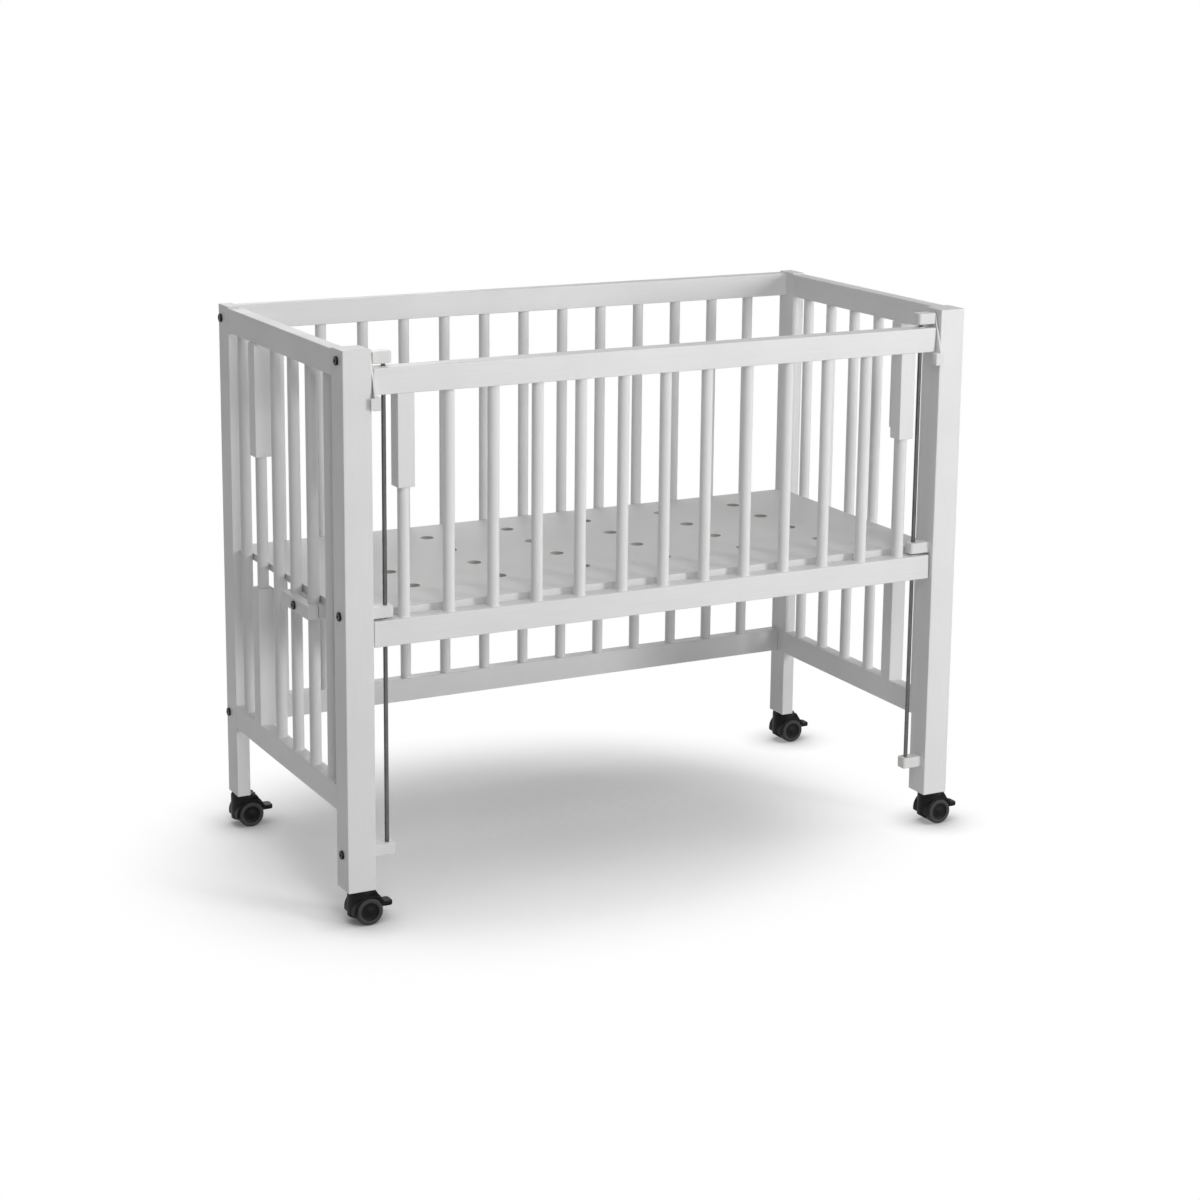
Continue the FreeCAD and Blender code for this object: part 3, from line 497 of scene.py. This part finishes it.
def caster_wheel(corner, side):
    """A wheel's outline runs out of its blind bore, over the inner face, round the tread and down
    into the hub, which lies 2 mm behind the tyre's face."""
    node = f"wheel_{side}_side_{corner}"
    low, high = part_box(node)
    outward = 1 if side == "rear" else -1
    inner, outer = (low.y, high.y) if outward == 1 else (high.y, low.y)
    width = abs(outer - inner)
    outline = [(0, width - axle_cap, hub), (axle_bore, width - axle_cap, hub), (axle_bore, 0, hub),
               (0.0120, 0, hub), (0.0128, 0.0002, tyre), (0.0172, 0, tyre),
               (0.0180, 0.0003, tyre), (0.0188, 0.0011, tyre), (tread_radius, 0.0020, tyre),
               (tread_radius, width - 0.0030, tyre), (0.0188, width - 0.0017, tyre), (0.0181, width - 0.0006, tyre),
               (0.0170, width - 0.0001, tyre), (0.0160, width, tyre), (0.0132, width, tyre),
               (0.0128, width - 0.0003, tyre), (0.0126, width - 0.0008, hub), (hub_radius, width - 0.0016, hub),
               (0.0118, width - 0.0020, hub), (0.0062, width - 0.0021, hub), (0.0052, width - 0.0018, hub),
               (boss_radius, width - 0.0015, hub), (0, width - 0.0014, hub)]
    outline = [(r, outward * h, finish) for r, h, finish in outline]
    middle = ((low.x + high.x) / 2, inner, (low.z + high.z) / 2)
    wheel = turned(f"tyred_{node}", outline, middle, axis="Y", sides=64, finishes=[tyre_rubber, nylon_black])
    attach(wheel, f"wheel_{side}_{corner}")
    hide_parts(node)


for corner in corners:
    for side in ("front", "rear"):
        caster_wheel(corner, side)

# ---- studio ----
# A plain white floor and room. The key light stands low at the front right and a second one high at
# the front left. A broad weak one hangs overhead, and two more lift the right side and the back.


def seen_directly(tree):
    """1 for a ray that comes from the camera, a mirror or glass, and 0 for the light that spreads."""
    path = add(tree, "ShaderNodeLightPath")
    seen = add(tree, "ShaderNodeMath", {"operation": "MAXIMUM"}, {
        0: path.outputs["Is Camera Ray"], 1: path.outputs["Is Glossy Ray"]})
    return add(tree, "ShaderNodeMath", {"operation": "MAXIMUM"}, {
        0: seen.outputs[0], 1: path.outputs["Is Transmission Ray"]})


# White paper. It lights the crib from below like real paper, but to the eye it is lifted to white, and only the
# shadow under the crib shows. That shadow is partly the lamps' own and partly painted shade, darker where an ambient
# occlusion node finds the floor closed in. Past an oval round the crib it is plain white, but for a small painted
# shadow beside each wheel, also from ambient occlusion.
floor_lift = 1.76
floor_half = 8.0


def studio_paper():
    material = bpy.data.materials.new("matt_white_studio_paper")
    material.use_nodes = True
    tree = material.node_tree
    tree.nodes.clear()
    paper = add(tree, "ShaderNodeBsdfDiffuse", inputs={"Color": (0.8, 0.8, 0.8, 1)})
    # painted shade: the floor's colour under the crib is darkened by ambient occlusion, on top of the lamps' own
    # shadows
    open_sky = add(tree, "ShaderNodeAmbientOcclusion", {"samples": 20}, {"Distance": 0.7})
    shade = add(tree, "ShaderNodeMapRange", inputs={
        "Value": open_sky.outputs["AO"], "From Min": 0.3, "From Max": 0.95, "To Min": 0.4 * floor_lift,
        "To Max": floor_lift})
    lifted = add(tree, "ShaderNodeBsdfDiffuse", inputs={"Color": shade.outputs[0]})
    # painted shadow: past the oval, the glowing white is darkened beside each wheel by ambient occlusion
    near_sky = add(tree, "ShaderNodeAmbientOcclusion", {"samples": 12}, {"Distance": 0.06})
    painted_contact_shadow = add(tree, "ShaderNodeMapRange", inputs={
        "Value": near_sky.outputs["AO"], "From Min": 0.4, "From Max": 1.0, "To Min": 0.3, "To Max": 1.0})
    white = add(tree, "ShaderNodeEmission", inputs={"Color": painted_contact_shadow.outputs[0], "Strength": 1.0})
    place = add(tree, "ShaderNodeTexCoord")
    oval = add(tree, "ShaderNodeMapping", {"vector_type": "TEXTURE"}, {
        "Vector": place.outputs["Object"], "Location": (-0.13, -0.03, 0), "Scale": (0.57, 0.48, 1)})
    distance = add(tree, "ShaderNodeVectorMath", {"operation": "LENGTH"}, {0: oval.outputs[0]})
    away = add(tree, "ShaderNodeMapRange", {"interpolation_type": "SMOOTHSTEP"}, {
        "Value": distance.outputs["Value"], "From Min": 0.55, "From Max": 1.12})
    shown = add(tree, "ShaderNodeMixShader", inputs={0: away.outputs[0], 1: lifted.outputs[0], 2: white.outputs[0]})
    mixed = add(tree, "ShaderNodeMixShader", inputs={
        0: seen_directly(tree).outputs[0], 1: paper.outputs[0], 2: shown.outputs[0]})
    add(tree, "ShaderNodeOutputMaterial", inputs={"Surface": mixed.outputs[0]})
    return material


floor_mesh = bpy.data.meshes.new("studio_floor")
floor_mesh.from_pydata([(-floor_half, -floor_half, 0), (floor_half, -floor_half, 0),
                        (floor_half, floor_half, 0), (-floor_half, floor_half, 0)], [], [(0, 1, 2, 3)])
floor = bpy.data.objects.new("studio_floor", floor_mesh)
floor_mesh.materials.append(studio_paper())
bpy.context.scene.collection.objects.link(floor)

# The room is white to the eye and dim as a light, so that the lamps shape the crib.
room = bpy.data.worlds.new("white_room")
bpy.context.scene.world = room
room.use_nodes = True
air = room.node_tree
air.nodes.clear()
dim = add(air, "ShaderNodeBackground", inputs={"Color": (1, 1, 1, 1), "Strength": 0.19})
bright = add(air, "ShaderNodeBackground", inputs={"Color": (1, 1, 1, 1), "Strength": 1.0})
mixed = add(air, "ShaderNodeMixShader", inputs={
    0: seen_directly(air).outputs[0], 1: dim.outputs[0], 2: bright.outputs[0]})
add(air, "ShaderNodeOutputWorld", inputs={"Surface": mixed.outputs[0]})


def area_light(name, place, aim, size, power):
    """A round lamp at a place, turned to shine at its aim."""
    lamp = bpy.data.lights.new(name, "AREA")
    lamp.shape, lamp.size, lamp.energy = "DISK", size, power
    holder = bpy.data.objects.new(name, lamp)
    bpy.context.scene.collection.objects.link(holder)
    holder.location = place
    direction = [a - p for a, p in zip(aim, place)]
    yaw = math.atan2(direction[1], direction[0])
    fall = math.atan2(math.hypot(direction[0], direction[1]), -direction[2])
    holder.rotation_euler = (fall, 0, yaw - math.pi / 2)


area_light("key_light", (2.0, -3.5, 1.2), (0, 0, 0.45), 1.0, 56)
area_light("high_light", (-0.8, -2.8, 2.8), (0, 0, 0.4), 1.6, 28.5)
area_light("overhead_light", (0.2, -0.6, 3.0), (0, 0, 0), 2.5, 7)
area_light("side_light", (2.7, -0.7, 0.6), (0.3, 0, 0.3), 1.0, 7.5)
area_light("back_light", (0.6, 3.6, 1.7), (0, 0, 0.4), 2.0, 16)

lens = bpy.data.cameras.new("camera")
camera = bpy.data.objects.new("camera", lens)
bpy.context.scene.collection.objects.link(camera)
camera.location = (-1.6773, -3.2170, 1.2932)
camera.rotation_euler = [math.radians(a) for a in (78.016, -0.546, -27.419)]
lens.sensor_width = 36.0
lens.lens = 76.26
lens.shift_y = -0.1
bpy.context.scene.camera = camera
bpy.context.scene.view_settings.view_transform = "Standard"
